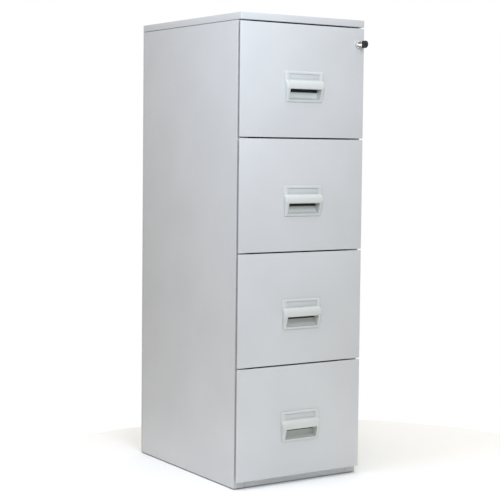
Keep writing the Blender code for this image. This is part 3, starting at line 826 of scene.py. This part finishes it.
def build_tray(number):
    """Folded tray: outturned rails along the top, end walls, catch for the lock bar."""
    low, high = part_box(f"drawer_{number}_tray")
    flange = high.z - RAIL_DEPTH
    path = [
        (RAIL_EDGE, high.z), (RAIL_EDGE, flange),
        (WALL_EDGE, flange), (WALL_EDGE, low.z + SHEET),
    ]
    path += [(-x, z) for x, z in reversed(path)]
    shell = sheet(path, "Y", low.y, high.y, SHEET, SHARP_BEND)
    half = WALL_EDGE + WALL_OVERLAP
    end_walls = [
        box(
            (-half, y, low.z + END_WALL_LIFT), (half, y + SHEET, flange - GAP),
            END_WALL_ROUND, 2,
        )
        for y in (low.y + END_WALL_SETBACK, high.y - SHEET - END_WALL_SETBACK)
    ]
    catch = box(
        (half, low.y + CATCH_NEAR, high.z - CATCH_LOW),
        (high.x, low.y + CATCH_FAR, high.z - CATCH_HIGH), CATCH_ROUND, 2,
    )
    mesh = joined(shell, *end_walls, catch)
    show(f"tray_{number}_sheet", mesh, f"drawer_{number}", TRAY_PAINT,
         [f"drawer_{number}_tray"], soften=0)


def handle_centre(number):
    """Height of a handle's middle."""
    low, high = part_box(f"drawer_{number}_handle")
    return (low.z + high.z) / 2


def inset_outline(outline, amount):
    """Outline moved inwards by an amount, with its two back points kept on the drawer front."""
    moved = []
    count = len(outline)
    for index, point in enumerate(outline):
        before, after = Vector(outline[index - 1]), Vector(outline[(index + 1) % count])
        here = Vector(point)
        first, second = (here - before).normalized(), (after - here).normalized()
        a, b = Vector((-first.y, first.x)), Vector((-second.y, second.x))
        corner = (a + b) / max(0.35, 1 + a.dot(b))
        moved.append(here + corner * amount)
    for index in (0, -1):
        moved[index] = Vector((outline[index][0], moved[index].y))
    return moved


def handle_outline(half_height):
    """Handle's section: rim, bulge out to the grip, the grip's rounded lower edge, rim."""
    corner = HANDLE_CORNER
    grip = GRIP_ROUND
    reach = HANDLE_BULGE - HANDLE_RIM
    outline = [(-GAP, half_height)]
    outline += arc((-HANDLE_RIM + corner, half_height - corner), corner, corner, 90, 180, 5)
    outline += arc((-HANDLE_RIM, BULGE_CENTRE), reach, GRIP_TOP - BULGE_CENTRE, 90, 180, 14)
    outline += arc((-HANDLE_BULGE + grip, GRIP_BOTTOM + grip), grip, grip, 180, 225, 4)
    outline += arc((-HANDLE_RIM + corner, -half_height + corner), corner, corner, 180, 270, 5)
    outline += [(-GAP, -half_height)]
    return outline


def handle_block(half_width, half_height):
    """Handle's section carried across it, with rounded cheeks, narrower towards the bottom."""
    outline = handle_outline(half_height)
    rings = []
    for side, angle in end_turns(5):
        x = side * (half_width - CHEEK_LENGTH + CHEEK_LENGTH * sin(angle))
        inset = CHEEK_ROUND * (1 - cos(angle))
        bulge = 1 - CHEEK_SLOPE * (1 - cos(angle))
        ring = []
        for y, z in inset_outline(outline, inset):
            beyond = min(0.0, y + HANDLE_RIM)
            ring.append((x, y - beyond * (1 - bulge), z))
        rings.append(ring)
    block = lofted(rings)
    for vertex in block.vertices:
        side = 1 if vertex.co.x > 0 else -1
        vertex.co.x -= side * HANDLE_TAPER * (0.5 - vertex.co.z / (2 * half_height))
    return block


def finger_hollow():
    """Space for the fingers: up behind the grip, down the cup's back wall, out over a sloping sill."""
    face = -HANDLE_BULGE
    back = CUP_DEPTH - CUP_WALL
    top = CUP_HIGH - CUP_WALL
    outline = [
        (HOLLOW_FRONT, GRIP_BOTTOM), (face + 0.0034, GRIP_BOTTOM),
        (face + 0.0026, GRIP_BOTTOM + 0.0009), (face + 0.0026, 0.0015),
        (face + 0.0034, 0.0045), (face + 0.0090, 0.0095),
        (back - 0.0015, top), (back, top - 0.0015),
        (back, CUP_LOW + 0.0105), (back - 0.0012, CUP_LOW + 0.0082),
        (0.0020, CUP_LOW + 0.0045), (-0.0030, CUP_LOW + 0.0028),
        (-0.0045, CUP_LOW + 0.0025), (HOLLOW_FRONT, CUP_LOW + 0.0025),
    ]
    return extruded(outline, "X", -FINGER_HALF_WIDTH, FINGER_HALF_WIDTH)


def label_recess():
    """Space for the card, as deep as the card's back."""
    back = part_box("drawer_1_label")[1].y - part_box("drawer_1_front")[0].y + GAP
    return box(
        (-LABEL_HALF_WIDTH, HOLLOW_FRONT, LABEL_CENTRE - LABEL_HALF_HEIGHT),
        (LABEL_HALF_WIDTH, back, LABEL_CENTRE + LABEL_HALF_HEIGHT),
    )


def handle_mesh(half_width, half_height):
    """Moulded handle with its cup, hollow and recess, the rims of both rounded."""
    cup = box(
        (-CUP_HALF_WIDTH, -CUP_OVERLAP, CUP_LOW), (CUP_HALF_WIDTH, CUP_DEPTH, CUP_HIGH),
        CUP_ROUND, 3,
    )
    moulding = fused(handle_block(half_width, half_height), cup)
    bm = bmesh.new()
    bm.from_mesh(cut(moulding, finger_hollow(), label_recess()))
    rim = []
    for edge in bm.edges:
        if len(edge.link_faces) != 2 or edge.calc_face_angle() < radians(RIM_ANGLE):
            continue
        ends = [v.co for v in edge.verts]
        if all(abs(p.x) < half_width - RIM_END and p.y < -RIM_DEPTH for p in ends):
            rim.append(edge)
    bmesh.ops.bevel(
        bm, geom=rim, offset=RIM_ROUND, segments=2, affect="EDGES", profile=0.5,
        clamp_overlap=True,
    )
    return finished(bm)


def build_handles():
    """One moulding for every drawer, with a near-black strip in its cup as painted shade under the grip, and
    its label card.
    """
    low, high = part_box("drawer_1_handle")
    mesh = handle_mesh((high.x - low.x) / 2, (high.z - low.z) / 2)
    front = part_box("drawer_1_front")[0].y
    back = front + CUP_DEPTH - CUP_WALL
    for number in DRAWERS:
        middle = handle_centre(number)
        copy = mesh.copy()
        copy.transform(Matrix.Translation((0, front, middle)))
        show(f"handle_{number}_moulding", copy, f"drawer_{number}", IVORY,
             [f"drawer_{number}_handle"], soften=0, smooth=35)
        # Painted shade: a near-black sheet on the cup's back wall stands in for the grip's shadow.
        half = FINGER_HALF_WIDTH - GAP
        top = middle + CUP_HIGH - CUP_WALL - SHADE_STRIP_HEADROOM
        strip = box(
            (-half, back - SHADE_STRIP_THICKNESS, middle + SHADE_STRIP_LOW), (half, back, top),
            SHADE_STRIP_ROUND, 2,
        )
        show(f"handle_{number}_painted_shade_strip", strip, f"drawer_{number}", BLACK,
             [], soften=0)
        card = box(*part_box(f"drawer_{number}_label"), CARD_ROUND, 2)
        show(f"label_{number}_card", card, f"drawer_{number}", CARD,
             [f"drawer_{number}_label"], soften=0)


# ---------------------------------------------------------------- lock and key

def build_barrel(x, z):
    """Fixed barrel: a rounded face over the front's hole and a body through it."""
    low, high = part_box("lock_barrel")
    radius = (high.x - low.x) / 2
    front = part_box("drawer_1_front")[0].y
    edge = BARREL_ROUND
    profile = [(BARREL_BORE, low.y + 0.0006), (0.0066, low.y + 0.0002), (0.0071, low.y)]
    profile += arc((radius - edge, low.y + edge), edge, edge, -90, 0, 6)
    profile += [
        (radius, front - 0.0010), (radius - GAP, front - GAP), (BARREL_BODY, front - GAP),
        (BARREL_BODY, high.y), (BARREL_BORE, high.y),
    ]
    show("lock_barrel_turned", turned(profile, x, z), "drawer_1", CHROME,
         ["lock_barrel"], soften=0)


def build_plug(x, z):
    """Turning plug: face with a keyway, neck through the column, cam behind it with its pin."""
    low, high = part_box("lock_plug")
    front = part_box("drawer_1_front")[0].y
    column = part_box("side_panel_right")[0].y
    shoulder = column - SHEET
    cam = column + CAM_SETBACK
    cam_back = cam + CAM_THICKNESS
    cam_flat = CAM_RADIUS - CAM_CHAMFER
    profile = [
        (0, low.y), (0.0054, low.y), (0.0058, low.y + 0.0001), (PLUG_RADIUS, low.y + 0.0005),
        (PLUG_RADIUS, shoulder), (PLUG_NECK, shoulder), (PLUG_NECK, cam), (cam_flat, cam),
        (CAM_RADIUS, cam + CAM_CHAMFER), (CAM_RADIUS, cam_back - CAM_CHAMFER),
        (cam_flat, cam_back), (0, cam_back),
    ]
    plug = turned(profile, x, z)
    angle = radians(PIN_ANGLE)
    pin_x, pin_z = x + PIN_REACH * cos(angle), z + PIN_REACH * sin(angle)
    pin = rod(PIN_RADIUS, pin_x, pin_z, cam_back - PIN_SINK, high.y, 24)
    keyway = box(
        (x - KEYWAY_HALF_WIDTH, low.y - LOCK_PAST, z - KEYWAY_HALF_HEIGHT),
        (x + KEYWAY_HALF_WIDTH, front + SHEET, z + KEYWAY_HALF_HEIGHT),
    )
    show("lock_plug_turned", cut(fused(plug, pin), keyway), "plug", CHROME,
         ["lock_plug"], soften=0)


def build_blade(z):
    """Flat blade: chamfered tip, three notches along its top, a groove in each face."""
    low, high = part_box("key_blade")
    chamfer = TIP_CHAMFER
    outline = [
        (low.y, low.z), (high.y - chamfer, low.z), (high.y, low.z + chamfer),
        (high.y, high.z - chamfer), (high.y - chamfer, high.z),
    ]
    for reach in NOTCH_REACHES:
        y = high.y - reach
        bottom = high.z - NOTCH_DEPTH
        outline += [(y, high.z), (y - NOTCH_SLOPE, bottom), (y - NOTCH_END, bottom)]
    outline += [(high.y - BLADE_SHOULDER, high.z), (low.y, high.z)]
    blade = extruded(outline, "X", low.x, high.x)
    grooves = []
    for face, height in ((low.x, GROOVE_LEFT), (high.x, GROOVE_RIGHT)):
        middle = z + height
        grooves.append(box(
            (face - GROOVE_DEPTH, low.y + GROOVE_START, middle - GROOVE_HALF_HEIGHT),
            (face + GROOVE_DEPTH, high.y + LOCK_PAST, middle + GROOVE_HALF_HEIGHT),
        ))
    show("key_blade_cut", cut(blade, *grooves), "key", NICKEL,
         ["key_blade"], soften=0.0001)


def build_bow(x, z):
    """Key's plastic head: round at the outer end, a hole for a ring, a dish in each face."""
    low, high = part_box("key_bow")
    half = (high.z - low.z) / 2
    thick = (high.x - low.x) / 2
    corner = BOW_CORNER
    outline = [(high.y, z - half + corner), (high.y, z + half - corner)]
    outline += arc((high.y - corner, z + half - corner), corner, corner, 0, 90, 4)[1:]
    outline += arc((low.y + half, z), half, half, 90, 270, 28)
    outline += arc((high.y - corner, z - half + corner), corner, corner, 270, 360, 4)[:-1]
    centre = Vector((low.y + half, z))
    rings = []
    for side, angle in end_turns(4):
        across = x + side * (thick - BOW_ROUND + BOW_ROUND * sin(angle))
        inset = BOW_ROUND * (1 - cos(angle))
        ring = []
        for point in outline:
            away = Vector(point) - centre
            moved = centre + away * (1 - inset / away.length)
            ring.append((across, moved.x, moved.y))
        rings.append(ring)
    hole = rod(RING_HOLE, 0, 0, -PAST, PAST, 32)
    place = Matrix.Translation((x, low.y + RING_HOLE_SETBACK, z))
    hole.transform(place @ Matrix.Rotation(pi / 2, 4, "Z"))
    dishes = [
        box(
            (face - DISH_DEPTH, low.y + DISH_NEAR, z - DISH_HALF_HEIGHT),
            (face + DISH_DEPTH, high.y - DISH_FAR, z + DISH_HALF_HEIGHT),
        )
        for face in (x - thick, x + thick)
    ]
    show("key_head_moulding", cut(lofted(rings), hole, *dishes), "key", BLACK,
         ["key_bow"], soften=0.0002)


def build_lock():
    """Barrel, plug and key about one axis."""
    x, z = centre_of("lock_barrel")
    build_barrel(x, z)
    build_plug(x, z)
    build_blade(z)
    build_bow(x, z)


# ---------------------------------------------------------------- kept CAD nodes

def build_kept():
    """CAD nodes that are kept as they are, with a material and softer edges."""
    dress("base_pan", PAINT)
    for name in ("lock_bar", "lock_bar_guide_lower", "lock_bar_guide_upper"):
        dress(name, ZINC)
    for number in FEET:
        dress(f"levelling_foot_{number}", FOOT, 0.0005)


# ---------------------------------------------------------------- stage, light and camera

def build_stage():
    """Pale round floor, lit evenly out to its edge."""
    bm = bmesh.new()
    place = Matrix.Translation(FLOOR_CENTRE)
    bmesh.ops.create_circle(bm, cap_ends=True, segments=96, radius=FLOOR_RADIUS, matrix=place)
    floor = bpy.data.objects.new("studio_floor", finished(bm))
    surface = Surface("floor_white", FLOOR_COLOR, 0.9)
    speck = surface.ranged(surface.noise(9.0, 3.0), 0.35, 0.65)
    surface.color(surface.blend(speck, FLOOR_DARK, FLOOR_LIGHT))
    floor.data.materials.append(surface.finish())
    bpy.context.collection.objects.link(floor)


def add_light(name, place, target, size, energy, color):
    """Rectangular light facing a point, unseen by the camera."""
    data = bpy.data.lights.new(name, "AREA")
    data.shape = "RECTANGLE"
    data.size, data.size_y = size
    data.energy = energy
    data.color = color
    light = bpy.data.objects.new(name, data)
    light.location = place
    light.visible_camera = False
    light.rotation_mode = "QUATERNION"
    light.rotation_quaternion = (Vector(target) - Vector(place)).to_track_quat("-Z", "Y")
    bpy.context.collection.objects.link(light)


def build_lights():
    """The lights, and a world that is white to the camera and a dimmer fill to everything else."""
    for light in LIGHTS:
        add_light(*light)
    world = bpy.data.worlds.new("studio")
    world.use_nodes = True
    bpy.context.scene.world = world
    tree = world.node_tree
    seen = tree.nodes["Background"]
    seen.inputs["Color"].default_value = WORLD_COLOR
    seen.inputs["Strength"].default_value = 1.0
    fill = tree.nodes.new("ShaderNodeBackground")
    fill.inputs["Color"].default_value = (*FILL_COLOR, 1.0)
    fill.inputs["Strength"].default_value = FILL_STRENGTH
    path = tree.nodes.new("ShaderNodeLightPath")
    mix = tree.nodes.new("ShaderNodeMixShader")
    tree.links.new(path.outputs["Is Camera Ray"], mix.inputs["Fac"])
    tree.links.new(fill.outputs["Background"], mix.inputs[1])
    tree.links.new(seen.outputs["Background"], mix.inputs[2])
    tree.links.new(mix.outputs["Shader"], tree.nodes["World Output"].inputs["Surface"])


def build_camera():
    """Camera looking along +Y when its yaw, pitch and roll are zero."""
    yaw, pitch, roll = radians(CAMERA_YAW), radians(CAMERA_PITCH), radians(CAMERA_ROLL)
    forward = Vector((sin(yaw) * cos(pitch), cos(yaw) * cos(pitch), -sin(pitch)))
    right = Vector((cos(yaw), -sin(yaw), 0))
    up = right.cross(forward)
    across = right * cos(roll) + up * sin(roll)
    upright = up * cos(roll) - right * sin(roll)
    data = bpy.data.cameras.new("camera")
    data.lens = CAMERA_LENS
    data.shift_x, data.shift_y = CAMERA_SHIFT
    camera = bpy.data.objects.new("camera", data)
    turn = Matrix((across, upright, -forward)).transposed()
    camera.matrix_world = Matrix.Translation(CAMERA_PLACE) @ turn.to_4x4()
    bpy.context.collection.objects.link(camera)
    bpy.context.scene.camera = camera
    bpy.context.scene.view_settings.view_transform = "Standard"


# ---------------------------------------------------------------- everything

build_cap()
for side_name, side_sign in SIDES:
    build_side(side_name, side_sign)
build_back()
build_plinth()
build_posts()
for drawer in DRAWERS:
    build_slides(drawer)
    build_front(drawer)
    build_tray(drawer)
build_handles()
build_lock()
build_kept()
build_stage()
build_lights()
build_camera()
